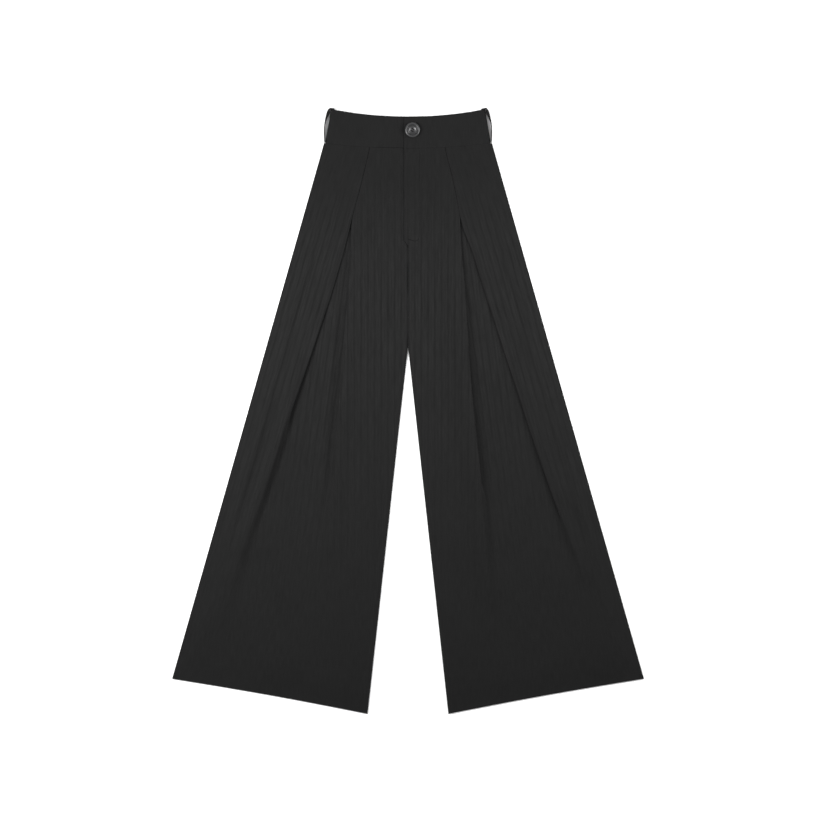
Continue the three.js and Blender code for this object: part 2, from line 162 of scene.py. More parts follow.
# Soft rolls along a fold or the side seam, at full height between two heights of the garment.
Roll = namedtuple("Roll", "line offset inner_width outer_width height starts full fades ends")
RIGHT_ROLLS = [
    Roll("inner", 5, 7, 8, -5.2, 310, 230, -40, -240),
    Roll("inner", 18, 9, 13, 2.7, 220, 120, -60, -240),
    Roll("inner", -9, 12, 8, 1.3, 200, 120, -80, -220),
    Roll("outer", 8, 7, 16, 1.8, 120, 0, -200, -420),
    Roll("side", -30, 8, 16, 3.4, 330, 220, -150, -330),
]
LEFT_ROLLS = [
    Roll("inner", -1, 20, 9, 4.6, 330, 220, -200, -430),
    Roll("outer", 9, 8, 16, 0.9, 180, 60, -100, -260),
    Roll("side", -24, 14, 13, 3.4, 350, 240, -180, -360),
]
# Ridges (height above 0) and troughs (below 0) between two points of a front.
Crease = namedtuple("Crease", "out_a y_a out_b y_b width height")
CREASE_BOW = 4.0
CREASE_STARTS, CREASE_ENDS = (-0.1, 0.3), (1.1, 0.6)  # shares of its length where it comes up
RIGHT_CREASES = [
    Crease(168, 190, 262, -90, 17, 1.0),
    Crease(98, -60, 108, -270, 9, -1.0),
    Crease(124, -110, 150, -330, 16, 0.9),
    Crease(60, 70, 84, -240, 22, 0.8),
    Crease(205, -170, 250, -400, 22, 0.9),
    Crease(40, 300, 52, 190, 12, -0.6),
]
LEFT_CREASES = [
    Crease(150, -120, 190, -330, 14, -1.2),
    Crease(268, -190, 306, -292, 5, 0.8),
    Crease(276, -150, 320, -300, 9, -1.1),
    Crease(165, 200, 250, -70, 15, 1.0),
    Crease(200, 230, 300, -60, 11, -0.8),
    Crease(205, -60, 238, -330, 24, 1.1),
    Crease(62, 60, 86, -250, 20, 0.8),
    Crease(330, -280, 362, -450, 16, 0.8),
]
HEM_ALLOWANCE, HEM_STEP = 40.0, 0.25  # turned up inside, it shows as a faint step
# The centre seam is pulled in below the fly and again at the crotch.
SEAM_PULL = ((266, 0.25), (252, 1.0), (215, 1.0), (195, 0.4), (145, 0.4), (125, 1.0))
PULL_DEPTH, PULL_WIDTH = 0.9, 4.2

# ---- Cloth pattern ----
CLOTH_DARK = (0.0042, 0.0042, 0.0042)
CLOTH_LIGHT = (0.0108, 0.0108, 0.0108)
TONE, BAND_TONE = 0.42, 0.47  # from dark to light
TWILL_PITCH, TWILL_SLOPE, TWILL_AMOUNT = 0.9, 0.7, 0.04
# Noises by their scale to a metre, or across and down the cloth, each with its amount of tone.
PATCHES, PATCH_AMOUNT = 14.0, 0.2
SLUBS, SLUB_AMOUNT = 900.0, 0.2
YARNS, YARN_AMOUNT = (480.0, 42.0), 0.6
STREAKS, STREAK_AMOUNT = (330.0, 14.0), 0.9
UNDERLAY_SLANT = 0.13  # the underlay's stripes lie between the centre's and the side's
STRIPE_PITCH, STRIPE_AMOUNT = 11.7, 0.36
# Lighter bands between thin dark lines: the place as a share of the pitch, and the strength.
STRIPE_SHADES = (
    (0.00, 0.0), (0.06, 0.05), (0.20, 0.8), (0.36, 1.0), (0.50, 0.6),
    (0.66, 1.0), (0.82, 0.75), (0.95, 0.05),
)
# Painted shade: the stripe is clear at the thighs and lost towards waist and hems, which leaves the
# cloth darker there: metres above this level, and the strength.
FADE_FROM = -0.6
STRIPE_FADE_PAINTED_SHADE = ((0.20, 0.0), (0.42, 0.3), (0.60, 0.6), (0.78, 1.0), (0.90, 0.8), (1.0, 0.15))
BUMP_STRENGTH, BUMP_DISTANCE, BUMP_RIBS, BUMP_SLUBS = 0.35, 0.12, 0.5, 0.8
HORN_DARK, HORN_LIGHT = (0.010, 0.010, 0.0105), (0.018, 0.018, 0.019)
THREAD_DARK, THREAD_LIGHT = (0.0018, 0.0018, 0.0018), (0.0045, 0.0045, 0.0045)

# ---- Meshing ----
EDGE_STEPS = (0.0, 0.12, 0.35, 0.8, 1.5)  # extra rows and columns that round an edge
ROUNDING = 0.9
THIN_EDGE = 0.2  # share of the thickness that is left at the very edge
FRONT_PITCH, BACK_PITCH, BAND_PITCH = 3.6, 9.0, 4.0
FLY_ROWS, FLY_ROWS_TOP, FLY_ROWS_END = 22, FLAP_LAPPED + 12, FLAP_FLAT - 8  # where the flap ends
PANEL_COLUMNS, UNDERLAY_COLUMNS = 34, 26
PANEL_SPAN, BACK_SPAN = 60.0, 300.0  # usual widths, for the share that a rounded edge takes

# ---- Place of the button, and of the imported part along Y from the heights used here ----
BUTTON_X, BUTTON_Y = 7.9, 490.9
box_low, box_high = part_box("button")
SHIFT_Y = (box_low[1] + box_high[1]) / 2 / MM - BUTTON_Y


# ---------------------------------------------------------------- helpers
def mix(a, b, t):
    return a + (b - a) * t


def share(value, start, end):
    return np.clip((value - start) / (end - start), 0.0, 1.0)


def ease(t):
    return t * t * (3 - 2 * t)


def along(table, column, y):
    """One column of a fold table at heights y, on a smooth curve through the table's rows."""
    heights = np.array([row.y for row in table], float)
    values = np.array([getattr(row, column) for row in table], float)
    last = len(table) - 1
    i = np.clip(np.searchsorted(-heights, -np.asarray(y, float)) - 1, 0, last - 1)
    before, beyond = np.maximum(i - 1, 0), np.minimum(i + 2, last)
    span = heights[i + 1] - heights[i]
    rise = values[i + 1] - values[i]
    start = (values[i + 1] - values[before]) / (heights[i + 1] - heights[before])
    end = (values[beyond] - values[i]) / (heights[beyond] - heights[i])
    t = np.clip((y - heights[i]) / span, 0.0, 1.0)
    bend = (start * (1 - t) - end * t) * span + rise * (2 * t - 1)
    return mix(values[i], values[i + 1], t) + t * (1 - t) * bend


def seam_height(out):
    return SEAM_Y + SEAM_CURVE * out * out


def band_top(out):
    return BAND_TOP_Y + BAND_TOP_CURVE * out * out


def band_side(y):
    return BAND_SIDE_OUT - BAND_SIDE_SLOPE * (y - BAND_SIDE_Y)


def side_seam(y):
    return SIDE_OUT + SIDE_SLOPE * (SIDE_Y - y)


def inseam(y):
    return SEAM_SLIT / 2 + INSEAM_SLOPE * np.maximum(0.0, CROTCH_Y - y)


def hem_height(out):
    t = (out - HEM_INNER[0]) / (HEM_OUTER[0] - HEM_INNER[0])
    return mix(HEM_INNER[1], HEM_OUTER[1], t) + HEM_BOW * np.sin(math.pi * np.clip(t, 0, 1))


def flap_edge(y):
    return mix(inseam(y), -FLY_LAP, share(y, FLAP_JOINED, FLAP_LAPPED))


def shield_edge(y):
    return mix(inseam(y), -FLY_SHIELD, share(y, SHIELD_JOINED, SHIELD_LAPPED))


def row_height(row, out):
    up = ease(share(row, SEAM_BEND_TO, SEAM_Y)) * (seam_height(out) - SEAM_Y)
    down = ease(share(row, HEM_BEND_FROM, HEM_ROW_Y)) * (hem_height(out) - HEM_ROW_Y)
    return row + up + down


def crossing(row, line):
    """Where a line that is given by height crosses each bent row."""
    out = line(row)
    for _ in range(4):
        out = line(row_height(row, out))
    return out


def spread(low, high, pitch, both_ends=True):
    """Places from low to high about a pitch apart, closer together at the ends."""
    steps = max(2, round(abs(high - low) / pitch))
    sign = 1 if high > low else -1
    inner = np.linspace(low + sign * 2 * EDGE_STEPS[-1], high - sign * 2 * EDGE_STEPS[-1], steps)
    head = [low + sign * step for step in EDGE_STEPS]
    tail = [high - sign * step for step in reversed(EDGE_STEPS)]
    return np.array([*head, *inner, *(tail if both_ends else [high])])


def taper(distance):
    """Share of the full thickness at a distance from a rounded edge."""
    t = np.clip(distance / ROUNDING, 0.0, 1.0)
    return mix(THIN_EDGE, 1.0, np.sqrt(1 - (1 - t) ** 2))


# ---------------------------------------------------------------- shells
def unit(vectors):
    return vectors / np.maximum(np.linalg.norm(vectors, axis=-1, keepdims=True), 1e-9)


def column_tangents(points):
    """Unit direction across each row, and the miter that keeps the wall's thickness at a bend."""
    steps = unit(np.diff(points, axis=1))
    before = np.concatenate([steps[:, :1], steps], axis=1)
    after = np.concatenate([steps, steps[:, -1:]], axis=1)
    total = (before + after) / 2
    length = np.linalg.norm(total, axis=-1, keepdims=True)
    return total / np.maximum(length, 1e-9), 1 / np.maximum(length, 0.6)


def grid_faces(rows, columns):
    """Quads of a closed wall: its face, its reverse and its four edges."""
    first = np.arange(rows * columns).reshape(rows, columns)
    second = first + rows * columns

    def quads(a, b, c, d):
        return np.stack([a.ravel(), b.ravel(), c.ravel(), d.ravel()], axis=1)

    def strip(a, b):
        return quads(a[:-1], b[:-1], b[1:], a[1:])

    return np.concatenate([
        quads(first[:-1, :-1], first[1:, :-1], first[1:, 1:], first[:-1, 1:]),
        quads(second[:-1, :-1], second[:-1, 1:], second[1:, 1:], second[1:, :-1]),
        strip(first[:, 0], second[:, 0]),
        strip(second[:, -1], first[:, -1]),
        strip(second[0], first[0]),
        strip(first[-1], second[-1]),
    ])


def make_object(name, vertices, faces, material, uv=None):
    """Mesh object from millimetre vertices, smooth shaded, with optional cloth coordinates."""
    mesh = bpy.data.meshes.new(name)
    placed = np.asarray(vertices, float) + (0.0, SHIFT_Y, 0.0)
    mesh.from_pydata((placed * MM).tolist(), [], faces)
    mesh.polygons.foreach_set("use_smooth", [True] * len(mesh.polygons))
    if uv is not None:
        corners = np.empty(len(mesh.loops), int)
        mesh.loops.foreach_get("vertex_index", corners)
        layer = mesh.uv_layers.new(name="Cloth")
        layer.data.foreach_set("uv", (np.asarray(uv) * MM)[corners].ravel())
    mesh.materials.append(material)
    mesh.update()
    obj = bpy.data.objects.new(name, mesh)
    bpy.context.scene.collection.objects.link(obj)
    return obj


def shell(name, points, half, cloth, side, material):
    """Closed wall of cloth around a grid of points. half is half its thickness at each point."""
    across, miter = column_tangents(points)
    down = unit(np.gradient(points, axis=0))
    normal = unit(np.cross(down, across)) * miter * half[..., None]
    walls = np.concatenate([(points + normal).reshape(-1, 3), (points - normal).reshape(-1, 3)])
    faces = grid_faces(*points.shape[:2])
    if side < 0:
        walls[:, 0] *= -1
        faces = faces[:, ::-1]
    uv = np.tile(cloth.reshape(-1, 2), (2, 1))
    return make_object(name, walls, faces.tolist(), material, uv)


# ---------------------------------------------------------------- fronts
def half_turn(out, from_z, to_z, bulge, steps=8):
    """Half turn of a fold from one layer to the next, for every row."""
    angle = np.linspace(0, math.pi, steps + 1)[None, :]
    radius = ((to_z - from_z) / 2)[:, None]
    reach = bulge * np.abs(radius) * np.sin(angle)
    return out[:, None] + reach, from_z[:, None] + radius * (1 - np.cos(angle))


def fold_points(edge, depth, toward, ply, folded, height, width):
    """One fold, from its top layer over the shown edge and the hidden turn to the underlay."""
    top = FRONT_Z + 2 * ply * height
    middle = FRONT_Z + ply * height
    low = np.full_like(top, FRONT_Z)
    turn = edge - toward * (ply / 2 + CLOTH / 2)
    hidden = turn - toward * np.maximum(depth, LEAST_DEPTH)
    out_a, z_a = half_turn(turn, top, middle, toward)
    out_b, z_b = half_turn(hidden, middle, low, -toward)
    inside = np.array([0.25, 0.5, 0.75])[None, :]
    out_m = mix(turn[:, None], hidden[:, None], inside)
    z_m = np.repeat(middle[:, None], 3, axis=1)
    out = np.concatenate([out_a, out_m, out_b], axis=1)
    z = np.concatenate([z_a, z_m, z_b], axis=1)
    t = np.linspace(0, 1, out.shape[1])[None, :]
    soft_out = edge[:, None] + toward * width[:, None] * (t - 0.5)
    soft_z = mix(top[:, None], low[:, None], ease(t))
    return mix(soft_out, out, folded[:, None]), mix(soft_z, z, folded[:, None])


def fold_depths(rows, start, end):
    """What the cut has and the outline does not show, shared by the inner and outer folds."""
    cut = CUT_AT_WAIST + CUT_GAIN * (SEAM_Y - rows)
    hidden = np.maximum(0.0, (cut - (end - start)) / 2)
    upper = mix(INNER_SHARE_ZERO, INNER_SHARE_SEAM, np.maximum(rows, 0) / SEAM_Y)
    inner = hidden * upper * (1 - share(-rows, 0, INNER_SHARE_GONE))
    return inner, hidden - inner


def crease_relief(out, y, creases):
    """Sum of the soft ridges and troughs at each point."""
    relief = np.zeros_like(out)
    for c in creases:
        run = np.array([c.out_b - c.out_a, c.y_b - c.y_a])
        length = np.hypot(*run)
        t = ((out - c.out_a) * run[0] + (y - c.y_a) * run[1]) / length**2
        bowed = CREASE_BOW * np.sin(math.pi * np.clip(t, 0, 1))
        away = ((out - c.out_a) * -run[1] + (y - c.y_a) * run[0]) / length - bowed
        ends = ease(share(t, *CREASE_STARTS)) * ease(share(t, *CREASE_ENDS))
        relief += c.height * ends * np.exp(-((away / c.width) ** 2))
    return relief


def roll_relief(out, y, rolls, pleat):
    """Sum of the soft rolls that follow the folds and the side seam."""
    relief = np.zeros_like(out)
    for r in rolls:
        middle = side_seam(y) if r.line == "side" else along(pleat, r.line, y)
        away = out - middle - r.offset
        width = np.where(away < 0, r.inner_width, r.outer_width)
        ends = ease(share(y, r.starts, r.full)) * ease(share(y, r.ends, r.fades))
        relief += r.height * ends * np.exp(-((away / width) ** 2))
    return relief


def inseam_rise(out, y):
    """Share of the loft beside the centre seam and inseam, steep where the seam is pulled in."""
    pull = np.interp(-y, [-at for at, _ in SEAM_PULL], [depth for _, depth in SEAM_PULL])
    pull = PULL_DEPTH * pull
    steep = pull * ease(share(out - inseam(y), INSEAM_RISE[0], PULL_WIDTH))
    return steep + (1 - pull) * ease(share(out - inseam(y), *INSEAM_RISE))


def front_relief(out, y, folds, lapped):
    """How far every layer of a front is raised off the back at a place."""
    off_side = ease(share(side_seam(y) - out, *SIDE_RISE))
    off_seam = ease(share(seam_height(out) - y, *SEAM_RISE))
    off_hem = ease(share(y - hem_height(out), *HEM_RISE))
    if lapped:
        off_fly = ease(share(out, *FLY_RISE))
    else:
        off_fly = ease(share(out + flap_edge(y), 0.1, FLY_GROOVE))
        off_seam = np.maximum(off_seam, ease(share(out, *FLY_LEVEL_OUT)))
    off_centre = mix(inseam_rise(out, y), off_fly, ease(share(y, *CENTRE_TO_FLY)))
    edges = off_centre * off_side * off_seam * off_hem
    hem_allowance = HEM_STEP * ease(share(y - hem_height(out), HEM_ALLOWANCE + 1, HEM_ALLOWANCE - 1))
    creased = crease_relief(out, y, folds.creases) + roll_relief(out, y, folds.rolls, folds.pleat)
    return edges * np.maximum(0.0, LOFT + creased + hem_allowance)


def front_rows():
    """Heights of a front's rows, from the waist seam down, finer where the flap ends."""
    upper = spread(SEAM_Y - SEAM_SLIT / 2, FLY_ROWS_TOP + 2, FRONT_PITCH, both_ends=False)
    fly = np.linspace(FLY_ROWS_TOP, FLY_ROWS_END, FLY_ROWS)
    lower = spread(HEM_ROW_Y, FLY_ROWS_END - 3, FRONT_PITCH, both_ends=False)[::-1]
    return np.concatenate([upper, fly, lower])


def edge_fractions(count, span):
    """Shares of a stretch that starts at a rounded edge: fine there, then even."""
    fine = np.array(EDGE_STEPS) / span
    return np.concatenate([fine, np.linspace(fine[-1] * 2, 1.0, count)])


Folds = namedtuple("Folds", "pleat inner_end outer_end creases rolls")
LEFT_FOLDS = Folds(LEFT_PLEAT, LEFT_INNER_END, LEFT_OUTER_END, LEFT_CREASES, LEFT_ROLLS)
RIGHT_FOLDS = Folds(RIGHT_PLEAT, RIGHT_INNER_END, RIGHT_OUTER_END, RIGHT_CREASES, RIGHT_ROLLS)
# Some columns of a front at every row, and for a fold the step from one layer to the next.
Stretch = namedtuple("Stretch", "out z ply", defaults=(None,))


def fold_state(rows, release):
    """How far a fold is folded, how high its soft step stands and how wide that is."""
    folded = ease(share(rows, release.released, release.folded))
    height = ease(share(rows, release.gone, release.released))
    opened = share(rows, release.released, release.gone) ** 1.5
    return folded, height, mix(SOFT_WIDTH, GONE_WIDTH, opened)


def pleat_fold(rows, pleat, line, release, depth, toward):
    """One fold of a front. toward is 1 where it opens away from the centre, -1 towards it."""
    ply = along(release.plies, "ply", rows)
    edge = crossing(rows, lambda y: along(pleat, line, y) - toward * GAP / 2)
    out, z = fold_points(edge, depth, toward, ply, *fold_state(rows, release))
    return Stretch(out, z, ply)


def panel_beside(rows, out, fold, toward):
    """The top layer beside a fold: level with the fold at its edge, down a ramp, up at the seam."""
    nearest = np.minimum(toward * fold.out[:, 0], toward * fold.out[:, -1])
    level = toward * (nearest - fold.ply / 2 - CLOTH / 2 - PLEAT_RIM)
    ramp = ease(share(out, (level - toward * PLEAT_RAMP)[:, None], level[:, None]))
    at_seam = ease(share(rows, SEAM_Y - SEAM_RAMP, SEAM_Y))[:, None]
    low = FRONT_Z + 2 * PRESSED_PLY * at_seam
    return Stretch(out, mix(low, np.maximum(low, fold.z[:, :1]), ramp))


def lap_rise(rows, out):
    """How far the flap is raised to lie over the shield."""
    on_fly = ease(share(rows[:, None], FLAP_FLAT, FLAP_JOINED))
    return PRESSED_PLY * on_fly * ease(share(out, LAP_END + LAP_RAMP, LAP_END))


def front_stretches(rows, folds, start, end, lapped):
    """The five stretches of a front: centre, inner fold, underlay, outer fold and side."""
    inner_depth, outer_depth = fold_depths(rows, crossing(rows, inseam), end)
    inner = pleat_fold(rows, folds.pleat, "inner", folds.inner_end, inner_depth, 1)
    outer = pleat_fold(rows, folds.pleat, "outer", folds.outer_end, outer_depth, -1)
    fractions = edge_fractions(PANEL_COLUMNS, PANEL_SPAN)[None, :]
    centre = panel_beside(rows, mix(start[:, None], inner.out[:, :1], fractions), inner, 1)
    if lapped:
        centre = Stretch(centre.out, centre.z + lap_rise(rows, centre.out))
    from_fold = 1 - fractions[:, ::-1]
    side = panel_beside(rows, mix(outer.out[:, :1], end[:, None], from_fold), outer, -1)
    across = np.linspace(0, 1, UNDERLAY_COLUMNS + 2)[None, 1:-1]
    under_out = mix(inner.out[:, -1:], outer.out[:, -1:], across)
    underlay = Stretch(under_out, np.full_like(under_out, FRONT_Z))
    return centre, inner, underlay, Stretch(outer.out[:, ::-1], outer.z[:, ::-1]), side


def front_cloth(out, y, centre_columns, fold_columns):
    """Cloth coordinates: upright in the centre, slanted on the underlay, along the side seam beyond."""
    upright = centre_columns + fold_columns // 2
    slanted = UNDERLAY_COLUMNS + 2 * (fold_columns - fold_columns // 2)
    beyond = out.shape[1] - upright - slanted
    slant = np.repeat([0.0, UNDERLAY_SLANT, SIDE_SLOPE], [upright, slanted, beyond])[None, :]
    stripe = (out + slant * y) * np.cos(np.arctan(slant))
    return np.stack([stripe, y], axis=-1)


def front(name, folds, edge, side, lapped, material):
    """One front with its pleat, and the area of its cut."""
    rows = front_rows()
    column = rows[:, None]
    start, end = crossing(rows, edge), crossing(rows, side_seam)
    centre, inner, underlay, outer, beyond = front_stretches(rows, folds, start, end, lapped)
    out = np.concatenate(
        [centre.out[:, :-1], inner.out, underlay.out, outer.out, beyond.out[:, 1:]], axis=1)
    z = np.concatenate([centre.z[:, :-1], inner.z, underlay.z, outer.z, beyond.z[:, 1:]], axis=1)
    y = row_height(column, out)
    points = np.stack([out, y, z + front_relief(out, y, folds, lapped)], axis=-1)

    # Distance from the nearest free edge, which the pleat has only at its top and its bottom.
    rim = np.minimum(out - start[:, None], end[:, None] - out)
    rim[:, centre.out.shape[1]:-beyond.out.shape[1]] = 10 * ROUNDING
    rim = np.minimum(rim, np.minimum(rows[0] - column, column - rows[-1]))
    cloth = front_cloth(out, y, centre.out.shape[1] - 1, inner.out.shape[1])
    piece = shell(name, points, CLOTH / 2 * taper(rim), cloth, side, material)
    return piece, panel_area(rows, cut_widths(rows, start, end))


def cut_widths(rows, start, end):
    """Width of a front's cut at each row, never less than what shows."""
    return np.maximum(CUT_AT_WAIST + CUT_GAIN * (SEAM_Y - rows), end - start)


def panel_area(rows, widths):
    """Square metres of a panel from its width at each row."""
    return float(np.sum((widths[1:] + widths[:-1]) / 2 * -np.diff(rows))) * MM * MM


# ---------------------------------------------------------------- backs and waistbands
def back(name, side, material):
    """One plain back, flat on the surface, and the area of its cut."""
    rows = spread(SEAM_Y - SEAM_SLIT / 2, HEM_ROW_Y, BACK_PITCH)
    start, end = crossing(rows, inseam), crossing(rows, side_seam)
    places = spread(0.0, BACK_SPAN, BACK_PITCH) / BACK_SPAN
    out = mix(start[:, None], end[:, None], places[None, :])
    y = row_height(rows[:, None], out)
    points = np.stack([out, y, np.full_like(out, CLOTH / 2)], axis=-1)
    rim = np.minimum(out - start[:, None], end[:, None] - out)
    rim = np.minimum(rim, np.minimum(rows[0] - rows, rows - rows[-1])[:, None])
    stripe = (out + SIDE_SLOPE / 2 * y) * math.cos(math.atan(SIDE_SLOPE / 2))
    cloth = np.stack([stripe, y], axis=-1)
    piece = shell(name, points, CLOTH / 2 * taper(rim), cloth, side, material)
    return piece, panel_area(rows, end - start)


def band_end(side_of, heights):
    """Outer end of a band where it meets each of its rows."""
    out = np.full_like(heights, BAND_SIDE_OUT)
    for _ in range(4):
        out = band_side(mix(seam_height(out) + SEAM_SLIT / 2, band_top(out), heights))
    return side_of * out


def waistband(name, first, lift, z, side, material, thins=0.0):
    """Band from a free end, or from the other side seam where first is None, to a side seam."""
    depth = BAND_TOP_Y - SEAM_Y
    shares = spread(depth, 0.0, BAND_PITCH) / depth
    end = band_end(1, shares)
    begin = band_end(-1, shares) if first is None else np.full_like(shares, first)
    length = float(np.max(end - begin))
    places = spread(0.0, length, BAND_PITCH) / length
    out = mix(begin[:, None], end[:, None], places[None, :])
    y = mix(seam_height(out) + SEAM_SLIT / 2, band_top(out), shares[:, None])
    height = z + BAND / 2 + lift(out)
    points = np.stack([out, y, height], axis=-1)
    rim = np.minimum(shares, 1 - shares)[:, None] * depth
    ends = np.minimum(out - begin[:, None], end[:, None] - out)
    half = BAND / 2 * np.minimum(taper(rim * BAND_EDGE), taper(ends * BAND_EDGE))
    kept = 1 - thins * (1 - ease(share(out - begin[:, None], 0, THINS_OVER)))
    points[..., 2] -= BAND / 2 * (1 - kept)
    half = half * kept
    cloth = np.stack([out, y], axis=-1)
    piece = shell(name, points, half, cloth, side, material)
    return piece, length, depth


# ---------------------------------------------------------------- belt loops
LOOP_WIDE, LOOP_LENGTH, LOOP_END_THICK = 8.0, 80.0, 1.6
LOOP_STEPS, LOOP_PITCH = 110, 0.7
STITCH_IN, STITCH_DENT, DENT_WIDTH = 1.7, 0.22, 0.35  # a sewn groove along both edges of the strap
LOOP_ON_TOP = (128.0, 134.5)
LoopKnot = namedtuple("LoopKnot", "y out thick")
LOOP_BOW = (
    LoopKnot(529.1, 136, 1.6),
    LoopKnot(527.2, 137.9, 2.8),
    LoopKnot(521.7, 139.4, 5.2),
    LoopKnot(514.3, 142.1, 3.8),
    LoopKnot(506.8, 144.4, 2.2),
    LoopKnot(499.3, 145.7, 1.7),
    LoopKnot(491.8, 146.1, 1.6),
    LoopKnot(484.2, 146.2, 1.7),
    LoopKnot(477, 145.9, 1.7),
)
LOOP_FOOT_Y = 469.4


def smooth_path(knots, count):
    """Catmull-Rom curve through the knots, in even steps."""
    knots = np.asarray(knots, float)
    padded = np.concatenate([[2 * knots[0] - knots[1]], knots, [2 * knots[-1] - knots[-2]]])
    pieces = []
    for a, b, c, d in zip(padded, padded[1:], padded[2:], padded[3:]):
        t = np.linspace(0, 1, 24, endpoint=False)[:, None]
        curve = 2 * b + (c - a) * t + (2 * a - 5 * b + 4 * c - d) * t**2
        pieces.append((curve + (3 * b - a - 3 * c + d) * t**3) / 2)
    line = np.concatenate([*pieces, knots[-1:]])
    walked = np.concatenate([[0], np.cumsum(np.linalg.norm(np.diff(line, axis=0), axis=1))])
    even = np.linspace(0, walked[-1], count)
    return np.stack([np.interp(even, walked, line[:, k]) for k in range(line.shape[1])], axis=1)


def loop_path(count):
    """Middle of the strap's wall with its thickness: out, y, thick."""
    seat = GAP + LOOP_END_THICK / 2
    knots = [(out, band_top(out) + seat, LOOP_END_THICK) for out in LOOP_ON_TOP]
    knots += [(knot.out, knot.y, knot.thick) for knot in LOOP_BOW]
    knots.append((band_side(LOOP_FOOT_Y) + seat, LOOP_FOOT_Y, LOOP_END_THICK))
    return smooth_path(knots, count)


def belt_loop(name, side, material):
    """Strap bowed clear of the band, seen on edge from the front."""
    path = loop_path(LOOP_STEPS)
    across = spread(LOOP_WIDE, 0.0, LOOP_PITCH)
    out = np.repeat(path[None, :, 0], len(across), axis=0)
    y = np.repeat(path[None, :, 1], len(across), axis=0)
    z = np.repeat(across[:, None], len(path), axis=1)
    points = np.stack([out, y, z], axis=-1)
    rim = np.minimum(across, LOOP_WIDE - across)[:, None]
    stitched = 1 - STITCH_DENT * np.exp(-(((rim - STITCH_IN) / DENT_WIDTH) ** 2))
    half = path[None, :, 2] / 2 * taper(rim) * stitched
    walked = np.linspace(0, LOOP_LENGTH, len(path))[None, :] * np.ones_like(out)
    cloth = np.stack([z, walked], axis=-1)
    return shell(name, points, half, cloth, side, material)


# ---------------------------------------------------------------- button and stitches
BUTTON_TURN = -0.5
HOLE_OUT, HOLE_RADIUS, HOLE_DEPTH = 2.7, 1.05, 1.5
LIP_OUT, LIP_IN = 0.15, 0.1  # a hole's edge slopes from here outside its radius to here inside it
BUTTON_MIDDLE = 1.5  # what is higher than this belongs to the button's face
THREAD_RADIUS, THREAD_LIFT = 0.5, 0.9
Ring = namedtuple("Ring", "r z")
BUTTON_PROFILE = (
    Ring(0.05, 1.9), Ring(2, 1.95), Ring(3.8, 2.4), Ring(5.8, 3.3), Ring(6.5, 3.4), Ring(7.1, 2.4),
    Ring(8.3, 2.1), Ring(9.1, 3.2), Ring(9.9, 4.3), Ring(11, 4.6), Ring(12, 4.3), Ring(12.8, 3.5),
    Ring(13, 2.3), Ring(12, 0.9), Ring(9.5, 0), Ring(0.05, 0),
)
BUTTON_SIDES, PROFILE_STEPS = 144, 220
STITCH_PITCH, STITCH_LENGTH, STITCH_POINTS = 3.1, 2.3, 5
STITCH_SUNK, STITCH_RISE = 0.4, 0.6  # of its radius: its ends lie in the cloth, its middle over it
# The stitching that holds the fly's facing: fine down the facing, heavy round its curved end, where the
# thick dark thread is partly real stitching and partly painted shade of the stitched groove.
STRAIGHT_RADIUS, CURVED_RADIUS = 0.14, 0.45
STRAIGHT_STITCHES = ((20, 456), (20, 400), (20, 340), (19.8, 303))
CURVED_STITCHES = ((18.8, 301.5), (14.8, 297.6), (9.5, 297.6), (4, 299.3), (-2, 300.8))


def hole_centres():
    """The button's four holes, from its middle."""
    angles = BUTTON_TURN + (np.arange(4) + 0.5) * math.pi / 2
    return np.stack([np.cos(angles), np.sin(angles)], axis=1) * HOLE_OUT


def button(name, low, material):
    """Turned disc with a raised rim, a groove and a dished middle with four holes sunk into it."""
    profile = smooth_path(BUTTON_PROFILE, PROFILE_STEPS)
    angle = np.linspace(0, 2 * math.pi, BUTTON_SIDES, endpoint=False)
    x = profile[:, :1] * np.cos(angle)
    y = profile[:, :1] * np.sin(angle)
    z = np.repeat(profile[:, 1:], BUTTON_SIDES, axis=1)
    for hole_x, hole_y in hole_centres():
        away = np.hypot(x - hole_x, y - hole_y)
        sunk = HOLE_DEPTH * ease(share(away, HOLE_RADIUS + LIP_OUT, HOLE_RADIUS - LIP_IN))
        z = np.where(z > BUTTON_MIDDLE, z - sunk, z)
    vertices = np.stack([x, y, z], axis=-1).reshape(-1, 3) + (BUTTON_X, BUTTON_Y, low)
    ring = np.arange(len(profile) * BUTTON_SIDES).reshape(len(profile), BUTTON_SIDES)
    after = np.roll(ring, -1, axis=1)
    quads = np.stack([ring[:-1], ring[1:], after[1:], after[:-1]], axis=-1).reshape(-1, 4)
    faces = quads.tolist() + [ring[0].tolist(), ring[-1][::-1].tolist()]
    return make_object(name, vertices, faces, material)


def tube(points, radius, sides=8):
    """Vertices and faces of a closed round tube along a line of points that is nowhere upright."""
    points = np.asarray(points, float)
    ahead = unit(np.gradient(points, axis=0))
    level = unit(np.cross(ahead, (0.0, 0.0, 1.0)))
    upward = np.cross(level, ahead)
    angle = np.linspace(0, 2 * math.pi, sides, endpoint=False)[None, :, None]
    radii = np.full(len(points), float(radius))
    radii[[0, -1]] *= 0.5
    offset = np.cos(angle) * level[:, None] + np.sin(angle) * upward[:, None]
    vertices = (points[:, None] + offset * radii[:, None, None]).reshape(-1, 3)
    ring = np.arange(len(points) * sides).reshape(len(points), sides)
    after = np.roll(ring, -1, axis=1)
    quads = np.stack([ring[:-1], after[:-1], after[1:], ring[1:]], axis=-1).reshape(-1, 4)
    return vertices, quads.tolist() + [ring[0].tolist(), ring[-1][::-1].tolist()]


def tubes(name, lines, radius, material):
    """One object of many short tubes."""
    vertices, faces, count = [], [], 0
    for line in lines:
        points, quads = tube(line, radius)
        vertices.append(points)
        faces += [[count + corner for corner in face] for face in quads]
        count += len(points)
    return make_object(name, np.concatenate(vertices), faces, material)


